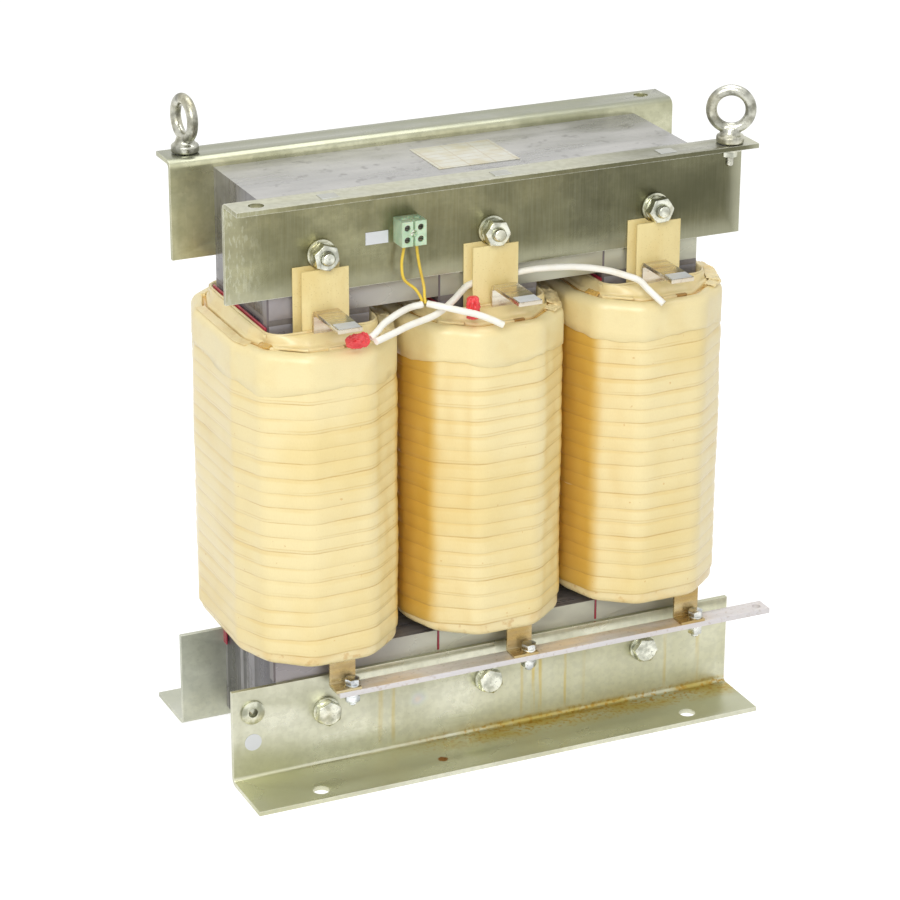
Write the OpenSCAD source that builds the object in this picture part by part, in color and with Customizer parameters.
// Three-phase iron-core shunt reactor: a laminated core with three gapped legs, held
// between four folded clamping angles, with one taped coil on each leg.
// X runs along the core, -Y is the terminal side, +Z is up. The origin is the centre
// of the base, on the plane that the two foot flanges stand on.

/* [Core] */
// width of one leg
leg_w = 75; // [60:1:90]
// depth of the stack of laminations
stack_d = 101; // [80:1:120]
// height of each yoke
yoke_h = 82; // [70:1:100]
// height of the window between the yokes
window_h = 258; // [250:1:320]
// height of the core's underside above the base
core_lift = 9; // [2:1:20]
// thickness of the spacer in each air gap
gap_t = 4; // [2:0.5:8]
// thickness of the red strips at the joints of the core
strip_t = 1.5; // [1:0.5:2]

/* [Clamping angles] */
// length of the lower angles beyond each end of the core
low_overhang = 35; // [28:0.5:50]
// length of the upper angles beyond each end of the core
top_overhang = 32.5; // [28:0.5:50]
// thickness of the folded sheet
sheet_t = 3.5; // [2.5:0.5:5]
// inside radius of the fold
fold_r = 3; // [1:0.5:5]
// height of the lower angles
low_clamp_h = 74; // [68:1:86]
// width of the foot flange, from the core to its edge
foot_w = 54; // [46:1:70]
// height of the upper angles
top_clamp_h = 73; // [66:1:84]
// width of the upper flange, from the core to its edge
top_flange_w = 28; // [26:1:40]
// how far the upper flange stands above the core
top_rise = 8; // [4:1:14]

/* [Foot holes] */
// distance of the foot holes beyond the centre lines of the outer legs
foot_over = 20; // [0:1:45]
// distance from the edge of the foot flange to the centre of its holes
foot_inset = 13; // [9:1:20]
// diameter of the foot holes
foot_hole_d = 12; // [7:0.5:13]

/* [Tie bolts] */
// diameter of the tie bolts
tie_d = 10; // [8:1:12]
// depth of the upper tie bolts below the upper flange
tie_drop = 45; // [36:1:50]
// height of the lower tie bolts above the base
tie_lift = 46; // [36:1:52]
// width across the flats of the tie nuts
tie_flats = 17; // [14:0.5:19]
// outer diameter of the flat washers
washer_d = 21; // [19:0.5:24]

/* [Coils] */
// clear space between neighbouring coils
coil_gap = 5; // [3:1:20]
// clear space between each yoke and the ends of the coils
coil_end_gap = 6; // [4:1:15]
// thickness of the inner winding at the sides of the leg
inner_side_t = 7.9; // [5:0.1:14]
// thickness of the inner winding at the front and back of the leg
inner_front_t = 14.9; // [12:0.1:20]
// thickness of the outer winding
outer_build = 7; // [5:0.5:10]
// turns of the outer tape
tape_turns = 19; // [12:1:22]
// thickness of the tape wrap
tape_t = 1.6; // [1:0.2:2.4]
// free space between neighbouring turns of tape
tape_gap = 0.7; // [0.5:0.1:1.5]
// clear space between a leg's sides and its coil
leg_side_gap = 3; // [1:0.5:8]
// clear space between a leg's front and its coil
leg_front_gap = 11.5; // [11:0.5:16]
// width of the air duct between the inner and the outer winding
duct_w = 3; // [2:0.5:4]

/* [Terminals] */
// width of the terminal bars
bar_w = 18; // [14:1:24]
// thickness of the terminal bars
bar_t = 3; // [2:0.5:4]
// height of the bar's fold above the coil
bar_rise = 15; // [10:1:20]
// forward reach of the bar from its upright
bar_reach = 46; // [30:1:50]
// width of the star bar
star_w = 15; // [12:1:20]
// thickness of the star bar
star_t = 4; // [3:0.5:6]
// depth of the star bar's top face below the coils
star_drop = 27; // [22:1:32]
// length of the star bar beyond its first bolt
star_head = 12; // [8:1:20]
// length of the star bar beyond its last bolt
star_tail = 61; // [40:1:90]
// diameter of the hole at the star bar's right end
star_hole_d = 6.6; // [5:0.2:9]

/* [Lifting eyes] */
// outer diameter of the ring
eye_d = 36; // [30:1:45]
// diameter of the hole in the ring
eye_hole_d = 20; // [16:1:24]
// height of the ring's underside above the flange
eye_foot = 6.5; // [6.5:0.5:12]
// diameter of the stud
eye_stud_d = 6; // [6:1:8]
// diameter of the holes in the upper flanges
eye_seat_d = 11; // [10.5:0.5:13]
// distance of each eye from the end of its angle
eye_inset = 18; // [14:1:30]
// turn of the left eye about its stud
left_eye_angle = 95; // [0:5:180]
// turn of the right eye about its stud
right_eye_angle = -30; // [-90:5:90]

/* [Terminal block] */
// distance between the two poles
block_pitch = 10; // [8:1:12]
// height of the block
block_h = 18; // [16:1:22]
// how far the block stands off the clamp
block_d = 15; // [12:1:18]
// shift of the block to the left of the gap between the first two coils
block_shift = 1; // [0:0.5:12]

/* [Hidden] */
$fn = 48;
cut = 1;
facets = 6;

half_stack = stack_d / 2;
face_y = half_stack + sheet_t;
former_t = 2;
former_stand = 3;
opening_x = leg_w / 2 + leg_side_gap;
opening_y = half_stack + leg_front_gap;
opening_r = 9;
inner_inset = tape_t + outer_build + duct_w;
half_w = opening_x + former_t + inner_side_t + inner_inset;
half_d = opening_y + former_t + inner_front_t + inner_inset;
leg_pitch = 2 * half_w + coil_gap;
coil_h = window_h - 2 * coil_end_gap;
core_z = core_lift;
low_yoke_top = core_z + yoke_h;
top_yoke_z = low_yoke_top + window_h;
core_top = top_yoke_z + yoke_h;
flange_z = core_top + top_rise;
mid_z = low_yoke_top + window_h / 2;
legs = [-leg_pitch, 0, leg_pitch];
core_len = 2 * leg_pitch + leg_w;
low_clamp_len = core_len + 2 * low_overhang;
top_clamp_len = core_len + 2 * top_overhang;

tie_top_z = flange_z - tie_drop;
tie_low_z = tie_lift;
sleeve_wall = 1;
tie_hole_d = tie_d + 2 * sleeve_wall;
tie_nut_t = 8.4;
tie_head_t = 6.4;
washer_t = 2;
spring_t = 2.2;
spring_rim = 4;
spring_d = tie_d + 2 * spring_rim;
tie_end = 3.5;
spring_slit = 1.4;

leg_gaps = 3;
strip_d = 7;
strip_into_yoke = 16;

foot_x = 2 * (leg_pitch + foot_over);
coil_z = mid_z - coil_h / 2;
coil_top = mid_z + coil_h / 2;
rim_drop = 5;
rim_in = 5;
inner_drop = 2;
// how far the outer winding and its tape sit below the middle of the inner one
outer_sink = 4;
spacer_w = 11;
spacer_drop = 5;
corner_spacer_w = 8;
front_in = 38;
corner_in = 10;
corner_back = 22.5;
side_back = 52.5;
inset_shares = [[1, 0.16], [0.86, 0.6], [0.35, 1]];
pocket_depth = 30;
tape_bevel_share = 0.3;
tape_seat_share = 0.12;

barrier_w = 35;
rear_barrier_t = 1;
front_barrier_t = 1.5;
barrier_sink = 22;
barrier_gap = 0.5;
rear_barrier_top = tie_top_z - tie_flats / 2 + rear_barrier_t;
front_barrier_top = tie_top_z - tie_flats / 2 - barrier_gap;
rear_barrier_shift = 4;

bar_y = -(opening_y + former_t + bar_t);
bar_offsets = [-2, 4, -6];
bar_fold_r = 2;
bar_top = coil_top + bar_rise;
bar_tag_t = 0.4;
bar_tag_len = 11;
bar_tag_in = 1;

lead_w = 20;
lead_t = 2;
lead_fold_r = 0.5;
lead_y = -(opening_y + former_t + lead_t);
lead_reach = 14;
lead_shift = -4.8;
star_bolt_d = 6;
star_flats = 10;
star_head_t = 4;
star_nut_t = 5;
star_washer_d = 11;
star_washer_t = 1.6;
star_bolt_end = 3;
star_bolt_offsets = [13, 25, 35];
star_bolt_xs = [for (i = [0:2]) legs[i] + star_bolt_offsets[i]];
star_left = star_bolt_xs[0] - star_head;
star_right = star_bolt_xs[2] + star_tail;
star_z = coil_z - star_drop;
star_washer_gap = 0.3;
star_bolt_y = lead_y - lead_fold_r - star_washer_gap - star_washer_d / 2;
star_set_back = 1.5;
star_y = star_bolt_y + star_set_back;
star_hole_in = 7.5;

eye_reach = 17.5;
eye_y = half_stack + eye_reach;
eye_collar_d = 20;
eye_collar_t = 6;
eye_neck_d = 13;
eye_stud_len = 17;
eye_flats = 10;
eye_nut_t = 5;
eye_washer_d = 18;
eye_washer_t = 1.6;
ring_t = (eye_d - eye_hole_d) / 2;
ring_r = (eye_hole_d + ring_t) / 2;
eye_rise = eye_foot + eye_d / 2;
eye_x = top_clamp_len / 2 - eye_inset;

earth_inset = 15.5;
earth_drop = 18;
earth_x = earth_inset - low_clamp_len / 2;
earth_z = low_clamp_h - earth_drop;
earth_d = 18;
earth_flange_t = 1.8;
earth_bore_d = 6.8;
earth_barrel_d = 11;
earth_barrel_len = 12;

block_drop = 35;
block_x = -leg_pitch / 2 - block_shift;
block_z = flange_z - block_drop;
block_body_r = 4.2;
block_w = block_pitch + 2 * block_body_r;
block_screw_d = 4.5;
block_screw_t = 3;
block_screw_z = 4.3;
block_screw_sink = 1.2;
block_foot_t = 4;
slot_t = 0.9;
slot_depth = 1;
block_fix_d = 3;
block_fix_head_d = 5;
block_fix_head_t = 2;
tube_d = 4.2;
tube_bore_d = 2.6;
screw_fit = 0.05;

plate_w = 63;
plate_d = 52;
plate_t = 0.5;
plate_x = 7;
plate_y = 6;
tag_w = 13;
tag_h = 10;
tag_t = 0.3;
tag_gap = 4;
side_tag_w = 17;
side_tag_h = 9;
side_tag_x = block_x - block_w / 2 - side_tag_w / 2 - tag_gap;
side_tag_z = block_z - block_screw_z;
earth_tag_drop = 24;

wire_d = 2.1;
sleeve_d = 4.8;
cap_d = 12;
cap_len = 17;
switch_len = 14;
standing_cap_in = 10.5;
standing_cap_side = 26;
standing_cap = [-standing_cap_side, standing_cap_in - half_d, coil_top - former_stand];
lying_cap_out = 2.8;
lying_cap_side = 18.6;
lying_cap_sink = 1;
lying_cap = [lying_cap_side - leg_pitch, -half_d - lying_cap_out, coil_top - lying_cap_sink];
left_wire = [[-70.5, -62.2, 395], [-70.7, -62.3, 391], [-72.5, -63, 381], [-72, -66, 371],
    [-65.5, -69.5, 364.5], [-62, -71, 358.7], [-61, -72.2, 354.6]];
right_wire = [[-60.5, -62.2, 395], [-60.6, -62.3, 390], [-58.8, -63, 377], [-58, -68, 365],
    [-59.2, -71.8, 359], [-59.9, -75.2, 354.6]];
sleeve_a = [[-62.2, -74.5, 354], [-71.5, -75, 353.3], [-83, -80, 352], [-96, -86, 348.6],
    [-103.5, -91, 345.4], [-109, -93, 342.5]];
sleeve_b = [[-107, -97.5, 341], [-90.5, -92, 343.2], [-77, -87, 345], [-54, -79.5, 347],
    [-36.5, -69, 351], [-26, -61.5, 354.5], [-18, -57.9, 357.2], [0, -57.7, 360], [18, -58, 361], [35, -61, 362.5],
    [61, -64, 361], [82, -69, 357.5], [96, -74, 353], [104, -80, 350], [106.5, -89, 346],
    [110, -95.5, 341.5], [113.5, -100, 337.5]];
sleeve_c = [[-58.4, -75.3, 354.2], [-53.5, -80, 353.7], [-45, -85.5, 352], [-36.5, -88, 349.5],
    [-26.5, -89.5, 346.2], [-18, -93, 342.6], [-10, -96, 338.4]];

// colours of the photographed materials
function c_iron() = [0.47, 0.45, 0.46];
function c_zinc() = [0.74, 0.76, 0.66];
function c_steel() = [0.78, 0.79, 0.78];
function c_tape() = [0.93, 0.84, 0.58];
function c_board() = [0.88, 0.79, 0.54];
function c_tin() = [0.78, 0.76, 0.74];
function c_red() = [0.45, 0.12, 0.12];

// 2-D pieces

// rounded rectangle centred on the origin
module round_rect(w, h, r) {
    square([w - 2 * r, h], center = true);
    square([w, h - 2 * r], center = true);
    for (sx = [-1, 1], sy = [-1, 1])
        translate([sx * (w / 2 - r), sy * (h / 2 - r)]) circle(r);
}

// L section of a folded sheet: upright along Y, flange along X, rounded fold at the origin
module angle_section(upright, flange) {
    outer_r = fold_r + sheet_t;
    difference() {
        union() {
            square([sheet_t, upright]);
            square([flange, sheet_t]);
            square(outer_r);
        }
        translate([outer_r, outer_r]) circle(fold_r);
        difference() {
            translate([-cut, -cut]) square(outer_r + cut);
            translate([outer_r, outer_r]) circle(outer_r);
        }
    }
}

// outline of a coil, a twelve-sided shape with a flat front, drawn in by a distance
function quarter_points(inset) = [
    [half_w, half_d - side_back] - inset * inset_shares[0],
    [half_w - corner_in, half_d - corner_back] - inset * inset_shares[1],
    [half_w - front_in, half_d] - inset * inset_shares[2]];
function coil_outline(inset) = let (q = quarter_points(inset)) concat(
    [for (i = [0:2]) q[i]],
    [for (i = [2:-1:0]) [-q[i][0], q[i][1]]],
    [for (i = [0:2]) [-q[i][0], -q[i][1]]],
    [for (i = [2:-1:0]) [q[i][0], -q[i][1]]]);

// closed solid through rings of points that all have the same number of points
module skin(rings) {
    n = len(rings[0]);
    m = len(rings);
    points = [for (ring = rings) each ring];
    sides = [for (i = [0:m - 2], j = [0:n - 1])
        let (a = i * n + j, b = i * n + (j + 1) % n)
        each [[a, a + n, b], [b, a + n, b + n]]];
    start = [for (j = [1:n - 2]) [0, j, j + 1]];
    end = [for (j = [1:n - 2]) [(m - 1) * n, (m - 1) * n + j + 1, (m - 1) * n + j]];
    polyhedron(points, concat(sides, start, end));
}

// round tube along a list of points, one ring at each point
function unit(v) = v / norm(v);
function tangent(p, i) = unit(p[min(i + 1, len(p) - 1)] - p[max(i - 1, 0)]);
function tube_rings(p, d, sides) = [for (i = [0:len(p) - 1])
    let (t = tangent(p, i), u = unit(cross(t, [0.3, 1, 0.2])), v = cross(t, u))
    [for (k = [0:sides - 1]) p[i] + d / 2 * (u * cos(360 * k / sides) + v * sin(360 * k / sides))]];
module tube(p, d) skin(tube_rings(p, d, 8));

// smooth curve through hand-chosen points, with a number of steps in each span
function blend_point(a, b, c, d, t) = 0.5 * (2 * b + (c - a) * t
    + (2 * a - 5 * b + 4 * c - d) * t * t + (3 * b - a - 3 * c + d) * t * t * t);
function curve(p, steps) = concat(
    [for (i = [0:len(p) - 2], s = [0:steps - 1])
        blend_point(p[max(i - 1, 0)], p[i], p[i + 1], p[min(i + 2, len(p) - 1)], s / steps)],
    [p[len(p) - 1]]);

// Core

// one yoke with the clearance holes for its three tie bolts
module yoke(z, bolt_z) {
    difference() {
        translate([-core_len / 2, -half_stack, z]) cube([core_len, stack_d, yoke_h]);
        for (x = legs)
            translate([x, half_stack + cut, bolt_z]) rotate([90, 0, 0])
                cylinder(h = stack_d + 2 * cut, d = tie_hole_d);
        strip_row();
    }
}
module lower_yoke() color(c_iron()) yoke(core_z, tie_low_z);
module upper_yoke() color(c_iron()) yoke(top_yoke_z, tie_top_z);

// a leg is a stack of equal iron blocks with a gap spacer above and below each block
block_len = (window_h - (leg_gaps + 1) * gap_t) / leg_gaps;
module leg(x) {
    for (i = [0:leg_gaps - 1])
        translate([x - leg_w / 2, -half_stack, low_yoke_top + gap_t + i * (block_len + gap_t)])
            cube([leg_w, stack_d, block_len]);
}
module left_leg() color(c_iron()) leg(legs[0]);
module middle_leg() color(c_iron()) leg(legs[1]);
module right_leg() color(c_iron()) leg(legs[2]);

module gap_spacers() color(c_board())
    for (x = legs, i = [0:leg_gaps])
        translate([x - leg_w / 2, -half_stack, low_yoke_top + i * (block_len + gap_t)])
            cube([leg_w, stack_d, gap_t]);

// red insulating strips at the left front edge of each leg, let into both yokes
module strip_row()
    for (x = legs)
        translate([x - leg_w / 2 - strip_t, -half_stack, low_yoke_top - strip_into_yoke])
            cube([strip_t, strip_d, window_h + 2 * strip_into_yoke]);
module joint_strips() color(c_red()) strip_row();

// Clamping angles

module angle_bar(len, upright, flange) {
    rotate([90, 0, 90]) linear_extrude(len, center = true) angle_section(upright, flange);
}

module tie_holes(z) {
    for (x = legs)
        translate([x, face_y + cut, z]) rotate([90, 0, 0])
            cylinder(h = 2 * (face_y + cut), d = tie_hole_d);
}

// lower angle on the rear side; the front one is its mirror image
module lower_angle() {
    difference() {
        translate([0, half_stack, 0]) angle_bar(low_clamp_len, low_clamp_h, foot_w);
        tie_holes(tie_low_z);
        for (s = [-1, 1])
            translate([s * foot_x / 2, half_stack + foot_w - foot_inset, -cut])
                cylinder(h = sheet_t + 2 * cut, d = foot_hole_d);
    }
}
module lower_rear_angle() color(c_zinc()) lower_angle();
module lower_front_angle() color(c_zinc())
    difference() {
        mirror([0, 1, 0]) lower_angle();
        translate([earth_x, -half_stack + cut, earth_z]) rotate([90, 0, 0])
            cylinder(h = sheet_t + 2 * cut, d = earth_barrel_d);
    }

// upper angle on the rear side, with a round hole near each end of its flange
module upper_angle() {
    difference() {
        translate([0, half_stack, flange_z]) mirror([0, 0, 1])
            angle_bar(top_clamp_len, top_clamp_h, top_flange_w);
        tie_holes(tie_top_z);
        for (s = [-1, 1])
            translate([s * eye_x, eye_y, flange_z - sheet_t - cut])
                cylinder(h = sheet_t + 2 * cut, d = eye_seat_d);
    }
}
module upper_rear_angle() color(c_zinc()) upper_angle();
module upper_front_angle() color(c_zinc())
    difference() {
        mirror([0, 1, 0]) upper_angle();
        translate([block_x, -half_stack + cut, block_z]) rotate([90, 0, 0])
            cylinder(h = sheet_t + 2 * cut, d = block_fix_d);
    }

// Tie bolts

// places children at each tie bolt, on the outer face of a clamp, with +Z pointing outward
module at_ties(z, side) {
    for (x = legs)
        translate([x, side * face_y, z]) rotate([side > 0 ? -90 : 90, 0, 0]) children();
}
module hexagon(flats, h) cylinder(h = h, d = flats / cos(30), $fn = facets);
shank_out = washer_t + spring_t + tie_nut_t + tie_end;
module tie_bolt_row(z, head_side) {
    at_ties(z, head_side) translate([0, 0, washer_t]) hexagon(tie_flats, tie_head_t);
    at_ties(z, head_side) translate([0, 0, -2 * face_y - shank_out])
        cylinder(h = 2 * face_y + shank_out + washer_t, d = tie_d);
}
module upper_tie_bolts() color(c_steel()) tie_bolt_row(tie_top_z, 1);
module lower_tie_bolts() color(c_steel()) tie_bolt_row(tie_low_z, -1);
module nut(flats, h, bore)
    difference() {
        hexagon(flats, h);
        translate([0, 0, -cut]) cylinder(h = h + 2 * cut, d = bore);
    }
module tie_nuts() color(c_steel()) {
    at_ties(tie_top_z, -1) translate([0, 0, washer_t + spring_t]) nut(tie_flats, tie_nut_t, tie_d);
    at_ties(tie_low_z, 1) translate([0, 0, washer_t + spring_t]) nut(tie_flats, tie_nut_t, tie_d);
}
module ring(h, outer, bore)
    difference() {
        cylinder(h = h, d = outer);
        translate([0, 0, -cut]) cylinder(h = h + 2 * cut, d = bore);
    }
module spring_washers() color(c_steel())
    for (place = [[tie_top_z, -1], [tie_low_z, 1]])
        at_ties(place[0], place[1]) translate([0, 0, washer_t]) difference() {
            ring(spring_t, spring_d, tie_d);
            translate([0, -spring_slit / 2, -cut]) cube([spring_d, spring_slit, spring_t + 2 * cut]);
        }
module flat_washers() color(c_steel())
    for (z = [tie_low_z, tie_top_z], side = [-1, 1])
        at_ties(z, side) ring(washer_t, washer_d, tie_d);

// insulating sleeves that fill the space between each tie bolt and its holes
module tie_sleeves() color(c_board())
    for (z = [tie_low_z, tie_top_z])
        at_ties(z, 1) translate([0, 0, -2 * face_y]) ring(2 * face_y, tie_hole_d, tie_d);

// Coils

opening_w = 2 * opening_x;
opening_d = 2 * opening_y;
module opening_prism(grow, z, h)
    translate([0, 0, z]) linear_extrude(h)
        round_rect(opening_w + 2 * grow, opening_d + 2 * grow, opening_r + grow);

// glass-fibre tube that carries the coil, standing a little above and below it
module former(x) translate([x, 0, 0]) difference() {
    opening_prism(former_t, coil_z, coil_h);
    opening_prism(0, coil_z - cut, coil_h + 2 * cut);
}
module left_former() color(c_tape()) former(legs[0]);
module middle_former() color(c_tape()) former(legs[1]);
module right_former() color(c_tape()) former(legs[2]);

// pocket that a terminal bar fills in the top of the inner winding
module bar_pocket(i) {
    translate([legs[i] + bar_offsets[i] - bar_w / 2, bar_y, coil_top - former_stand - pocket_depth])
        cube([bar_w, bar_t, pocket_depth + cut]);
}

// inner winding between the former and the air duct
module inner_winding(i) difference() {
    translate([legs[i], 0, coil_z + former_stand]) difference() {
        linear_extrude(coil_h - 2 * former_stand) polygon(coil_outline(inner_inset));
        opening_prism(former_t, -cut, coil_h + 2 * cut);
    }
    bar_pocket(i);
}
module left_inner_winding() color(c_tape()) inner_winding(0);
module middle_inner_winding() color(c_tape()) inner_winding(1);
module right_inner_winding() color(c_tape()) inner_winding(2);

// outer winding with its upper and lower rims drawn in
module outer_winding(x) {
    low = coil_z + inner_drop + former_stand - outer_sink;
    high = coil_top - inner_drop - former_stand - outer_sink;
    translate([x, 0, 0]) difference() {
        skin([for (level = [[low, rim_in], [low + rim_drop / 3, rim_in / 2], [low + rim_drop, 0],
                [high - rim_drop, 0], [high - rim_drop / 3, rim_in / 2], [high, rim_in]])
            [for (p = coil_outline(tape_t + level[1])) [p[0], p[1], level[0]]]]);
        translate([0, 0, low - cut]) linear_extrude(high - low + 2 * cut)
            polygon(coil_outline(tape_t + outer_build));
    }
}
module left_outer_winding() color(c_tape()) outer_winding(legs[0]);
module middle_outer_winding() color(c_tape()) outer_winding(legs[1]);
module right_outer_winding() color(c_tape()) outer_winding(legs[2]);

// outer tape: one unbroken flat band wound from the lower rim to the upper rim
corners = len(coil_outline(0));
tape_span = coil_h - 2 * (rim_drop + inner_drop + former_stand);
tape_pitch = tape_span / (tape_turns + 1);
tape_w = tape_pitch - tape_gap;
tape_start = mid_z - outer_sink - tape_span / 2 + tape_pitch / 2;
function tape_ring(k) = let (
    out = coil_outline(0)[k % corners],
    back = coil_outline(tape_t)[k % corners],
    seat = back + tape_seat_share * (out - back),
    mid = (out + seat) / 2,
    z = tape_start + tape_pitch * k / corners,
    h = tape_w / 2,
    b = tape_w * tape_bevel_share / 2)
    [[seat[0], seat[1], z - h + b], [seat[0], seat[1], z + h - b], [mid[0], mid[1], z + h],
     [out[0], out[1], z + h - b], [out[0], out[1], z - h + b], [mid[0], mid[1], z - h]];
function tape_rings() = [for (k = [0:corners * tape_turns]) tape_ring(k)];
module tape(x) translate([x, 0, 0]) skin(tape_rings());
module left_tape() color(c_tape()) tape(legs[0]);
module middle_tape() color(c_tape()) tape(legs[1]);
module right_tape() color(c_tape()) tape(legs[2]);

// least distance between the points of one turn and those of the next
function turn_gap(k) = min([for (a = tape_ring(k), b = tape_ring(k + corners)) norm(a - b)]);
echo(least_tape_gap = min([for (k = [0:corners * (tape_turns - 1)]) turn_gap(k)]));

// sticks that keep the air duct open, one on each flat and one near each corner
spacer_h = coil_h - 2 * (former_stand + spacer_drop);
module duct_spacers() color(c_board())
    for (x = legs) translate([x, 0, coil_z + former_stand + spacer_drop]) intersection() {
        linear_extrude(spacer_h) difference() {
            polygon(coil_outline(tape_t + outer_build));
            polygon(coil_outline(inner_inset));
        }
        union() {
            for (s = [-1, 1], t = [-1, 1]) {
                translate([s * (half_w - corner_in - inner_inset) - corner_spacer_w / 2,
                    t * (half_d - corner_back - corner_spacer_w / 2) - corner_spacer_w / 2, 0])
                    cube([corner_spacer_w + inner_inset, corner_spacer_w, spacer_h]);
                translate([-spacer_w / 2, t * (half_d - inner_inset / 2) - inner_inset / 2, 0])
                    cube([spacer_w, inner_inset, spacer_h]);
            }
        }
    }

// Barrier sheets: one flat on the clamp, cut round the washers, one against the former

barrier_foot = coil_top - barrier_sink;
module rear_barriers() color(c_board()) difference() {
    for (x = legs)
        translate([x - barrier_w / 2 - rear_barrier_shift, -face_y - rear_barrier_t, barrier_foot])
            cube([barrier_w, rear_barrier_t, rear_barrier_top - barrier_foot]);
    for (x = legs)
        translate([x, -face_y + cut, tie_top_z]) rotate([90, 0, 0])
            cylinder(h = rear_barrier_t + 2 * cut, d = washer_d + barrier_gap);
}
module front_barriers() color(c_board())
    for (x = legs)
        translate([x - barrier_w / 2, -opening_y, barrier_foot])
            cube([barrier_w, front_barrier_t, front_barrier_top - barrier_foot]);

// Terminal bars: an upright out of the coil, folded forward at the top

module folded_bar(w, t, up, out, r) {
    // upright along +Z with its back at y = 0, then a forward leg along -Y
    translate([-w / 2, 0, 0]) rotate([90, 0, 90]) linear_extrude(w) difference() {
        union() {
            translate([-t, 0]) square([t, up - r - t]);
            translate([-out, up - t]) square([out - r - t, t]);
            translate([-r - t, up - r - t]) intersection() {
                circle(r + t);
                square(r + t);
            }
        }
        translate([-r - t, up - r - t]) circle(r);
    }
}
module terminal(i) {
    translate([legs[i] + bar_offsets[i], bar_y + bar_t, coil_top - former_stand - pocket_depth])
        folded_bar(bar_w, bar_t, bar_rise + former_stand + pocket_depth, bar_reach, bar_fold_r);
}
module left_terminal() color(c_tin()) terminal(0);
module middle_terminal() color(c_tin()) terminal(1);
module right_terminal() color(c_tin()) terminal(2);

// Star point: three leads folded forward on to one bar, each held by a bolt

module star_lead(i) {
    up = coil_z + former_stand - star_z;
    difference() {
        translate([star_bolt_xs[i] + lead_shift, lead_y + lead_t, star_z + up])
            mirror([0, 0, 1]) folded_bar(lead_w, lead_t, up, lead_reach, lead_fold_r);
        translate([star_bolt_xs[i], star_bolt_y, star_z - cut])
            cylinder(h = lead_t + 2 * cut, d = star_bolt_d);
    }
}
module left_star_lead() color(c_tin()) star_lead(0);
module middle_star_lead() color(c_tin()) star_lead(1);
module right_star_lead() color(c_tin()) star_lead(2);

module star_bar() color(c_tin()) difference() {
    translate([star_left, star_y - star_w / 2, star_z - star_t])
        cube([star_right - star_left, star_w, star_t]);
    for (x = star_bolt_xs)
        translate([x, star_bolt_y, star_z - star_t - cut])
            cylinder(h = star_t + 2 * cut, d = star_bolt_d);
    translate([star_right - star_hole_in, star_y, star_z - star_t - cut])
        cylinder(h = star_t + 2 * cut, d = star_hole_d);
}
star_top = star_z + lead_t;
star_under = star_z - star_t;
module at_star_bolts(z) for (x = star_bolt_xs) translate([x, star_bolt_y, z]) children();
module star_bolts() color(c_steel()) {
    bottom = star_under - star_washer_t - star_nut_t - star_bolt_end;
    at_star_bolts(star_top + star_washer_t) hexagon(star_flats, star_head_t);
    at_star_bolts(bottom)
        cylinder(h = star_top + star_washer_t - bottom, d = star_bolt_d);
}
module star_washers() color(c_steel()) {
    at_star_bolts(star_top) ring(star_washer_t, star_washer_d, star_bolt_d);
    at_star_bolts(star_under - star_washer_t) ring(star_washer_t, star_washer_d, star_bolt_d);
}
module star_nuts() color(c_steel())
    at_star_bolts(star_under - star_washer_t - star_nut_t) nut(star_flats, star_nut_t, star_bolt_d);

// Lifting eyes: ring, neck and collar on a stud, held by a nut under the flange

module lifting_eye(turn) rotate([0, 0, turn]) {
    translate([0, 0, eye_rise]) rotate([90, 0, 0]) rotate_extrude()
        translate([ring_r, 0]) circle(d = ring_t);
    cylinder(h = eye_collar_t, d = eye_collar_d);
    translate([0, 0, eye_collar_t])
        cylinder(h = eye_rise - ring_r - eye_collar_t, d1 = eye_collar_d, d2 = eye_neck_d);
    translate([0, 0, -eye_stud_len]) cylinder(h = eye_stud_len + eye_collar_t / 2, d = eye_stud_d);
}
module left_lifting_eye() color(c_steel())
    translate([-eye_x, eye_y, flange_z]) lifting_eye(left_eye_angle);
module right_lifting_eye() color(c_steel())
    translate([eye_x, -eye_y, flange_z]) lifting_eye(right_eye_angle);

// washer and nut that go round with the eye
module eye_fastening() {
    translate([0, 0, -sheet_t - eye_washer_t]) ring(eye_washer_t, eye_washer_d, eye_stud_d);
    translate([0, 0, -sheet_t - eye_washer_t - eye_nut_t]) nut(eye_flats, eye_nut_t, eye_stud_d);
}
module left_eye_nut() color(c_steel()) translate([-eye_x, eye_y, flange_z]) eye_fastening();
module right_eye_nut() color(c_steel()) translate([eye_x, -eye_y, flange_z]) eye_fastening();

// Earth point: flanged threaded insert in the lower front angle
module earth_insert() color(c_steel())
    translate([earth_x, -face_y, earth_z]) rotate([90, 0, 0]) difference() {
        union() {
            cylinder(h = earth_flange_t, d = earth_d);
            translate([0, 0, -earth_barrel_len]) cylinder(h = earth_barrel_len + cut, d = earth_barrel_d);
        }
        translate([0, 0, -earth_barrel_len - cut])
            cylinder(h = earth_barrel_len + earth_flange_t + 2 * cut, d = earth_bore_d);
    }

// Terminal block of two poles on the upper front angle

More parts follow.
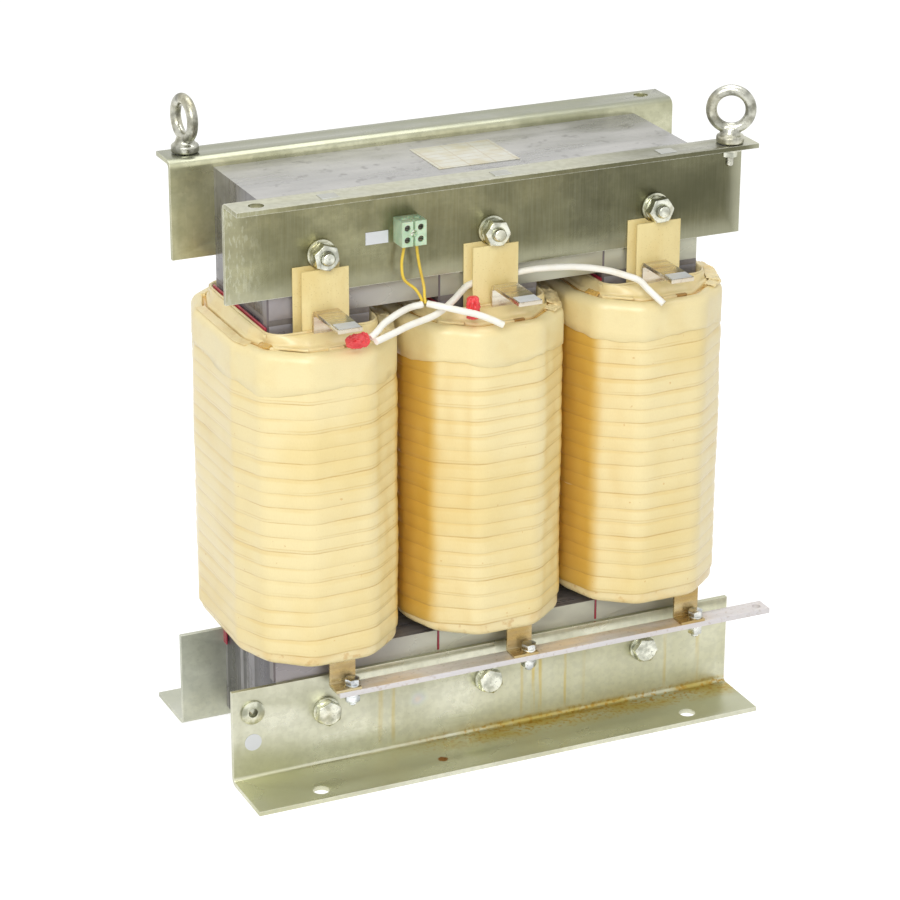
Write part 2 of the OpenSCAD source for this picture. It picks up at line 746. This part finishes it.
block_face = -face_y - block_d;
pole_xs = [block_x - block_pitch / 2, block_x + block_pitch / 2];
screw_zs = [block_z - block_screw_z, block_z + block_screw_z];
tube_y = -face_y - block_foot_t - block_body_r;
fix_face = tube_y - block_body_r / 2;
module terminal_block() color([0.62, 0.85, 0.68]) difference() {
    union() {
        translate([block_x - block_w / 2, -face_y - block_foot_t, block_z - block_h / 2])
            cube([block_w, block_foot_t, block_h]);
        for (x = pole_xs)
            translate([x - block_body_r, block_face, block_z - block_h / 2])
                cube([2 * block_body_r, block_d - block_foot_t, block_h]);
        translate([block_x - block_pitch / 2, tube_y - block_body_r / 2, block_z - block_h / 4])
            cube([block_pitch, block_body_r + block_body_r / 2, block_h / 2]);
    }
    for (x = pole_xs) {
        translate([x, tube_y, block_z - block_h / 2 - cut])
            cylinder(h = block_h + 2 * cut, d = tube_d);
        for (z = screw_zs)
            translate([x, block_face - cut, z]) rotate([-90, 0, 0])
                cylinder(h = -block_face + tube_y + cut, d = block_screw_d + 2 * screw_fit);
    }
    translate([block_x, block_face - cut, block_z]) rotate([-90, 0, 0]) {
        cylinder(h = block_d + 2 * cut, d = block_fix_d);
        cylinder(h = fix_face - block_face + cut, d = block_fix_head_d + 2 * screw_fit);
    }
}

// plated tube in each pole, with the lead ends inside
module block_tubes() color([0.8, 0.72, 0.45])
    for (x = pole_xs)
        translate([x, tube_y, block_z - block_h / 2 + block_screw_sink]) difference() {
            cylinder(h = block_h - 2 * block_screw_sink, d = tube_d);
            translate([0, 0, -cut]) cylinder(h = block_h, d = tube_bore_d);
        }

// slotted clamp screws, two in each pole
module block_screws() color(c_steel())
    for (x = pole_xs, z = screw_zs)
        translate([x, block_face + block_screw_sink, z]) rotate([-90, 0, 0]) difference() {
            cylinder(h = block_screw_t, d = block_screw_d);
            translate([-block_screw_d / 2 - cut, -slot_t / 2, -cut])
                cube([block_screw_d + 2 * cut, slot_t, slot_depth + cut]);
        }
module block_fixing_screw() color(c_steel())
    translate([block_x, fix_face - block_fix_head_t, block_z]) rotate([-90, 0, 0]) difference() {
        union() {
            cylinder(h = block_fix_head_t, d = block_fix_head_d);
            cylinder(h = block_fix_head_t - fix_face - half_stack, d = block_fix_d);
        }
        translate([-block_fix_head_d / 2 - cut, -slot_t / 2, -cut])
            cube([block_fix_head_d + 2 * cut, slot_t, slot_depth + cut]);
    }

// Sensor wiring: two wires from the block, three sleeves to the coils, two end caps

module sensor_wires() color([0.86, 0.8, 0.2]) {
    tube(curve(left_wire, 2), wire_d);
    tube(curve(right_wire, 2), wire_d);
}
module sensor_sleeves() color([0.95, 0.94, 0.9]) {
    tube(curve(sleeve_a, 2), sleeve_d);
    tube(curve(sleeve_b, 1), sleeve_d);
    tube(curve(sleeve_c, 2), sleeve_d);
}
module end_cap() {
    cylinder(h = cap_len - cap_d / 2, d = cap_d);
    translate([0, 0, cap_len - cap_d / 2]) sphere(d = cap_d);
}
module sensor_caps() color([0.8, 0.13, 0.15]) {
    translate(lying_cap) rotate([0, -90, 0]) end_cap();
    translate(standing_cap) end_cap();
}

// thermal switches buried in the air duct at the front of each coil
duct_front = -half_d + tape_t + outer_build;
module thermal_switches() color([0.5, 0.5, 0.52])
    for (x = legs)
        translate([x + spacer_w / 2, duct_front, coil_top - former_stand - spacer_drop - switch_len])
            cube([corner_spacer_w, duct_w, switch_len]);

// Plates and tags

module rating_plate() color([0.86, 0.82, 0.68])
    translate([plate_x - plate_w / 2, plate_y - plate_d / 2, core_top])
        cube([plate_w, plate_d, plate_t]);
module flange_tags() color([0.93, 0.92, 0.88]) {
    for (x = legs)
        translate([x - tag_w / 2, -eye_y - tag_h / 2, flange_z]) cube([tag_w, tag_h, tag_t]);
    translate([side_tag_x - side_tag_w / 2, -face_y - tag_t, side_tag_z - side_tag_h / 2])
        cube([side_tag_w, tag_t, side_tag_h]);
    translate([earth_x, -face_y, earth_z - earth_tag_drop]) rotate([90, 0, 0])
        cylinder(h = tag_t, d = tag_w);
}
module terminal_tags() color([0.93, 0.92, 0.88])
    for (i = [0:2])
        translate([legs[i] + bar_offsets[i] - bar_w / 2 + bar_tag_in,
            bar_y + bar_t - bar_reach + bar_tag_in, bar_top])
            cube([bar_w - 2 * bar_tag_in, bar_tag_len, bar_tag_t]);

lower_yoke();
upper_yoke();
left_leg();
middle_leg();
right_leg();
gap_spacers();
joint_strips();
lower_front_angle();
lower_rear_angle();
upper_front_angle();
upper_rear_angle();
upper_tie_bolts();
lower_tie_bolts();
tie_nuts();
spring_washers();
flat_washers();
tie_sleeves();
left_former();
middle_former();
right_former();
left_inner_winding();
middle_inner_winding();
right_inner_winding();
left_outer_winding();
middle_outer_winding();
right_outer_winding();
left_tape();
middle_tape();
right_tape();
duct_spacers();
rear_barriers();
front_barriers();
left_terminal();
middle_terminal();
right_terminal();
left_star_lead();
middle_star_lead();
right_star_lead();
star_bar();
star_bolts();
star_washers();
star_nuts();
left_lifting_eye();
right_lifting_eye();
left_eye_nut();
right_eye_nut();
earth_insert();
terminal_block();
block_tubes();
block_screws();
block_fixing_screw();
sensor_wires();
sensor_sleeves();
sensor_caps();
thermal_switches();
rating_plate();
flange_tags();
terminal_tags();
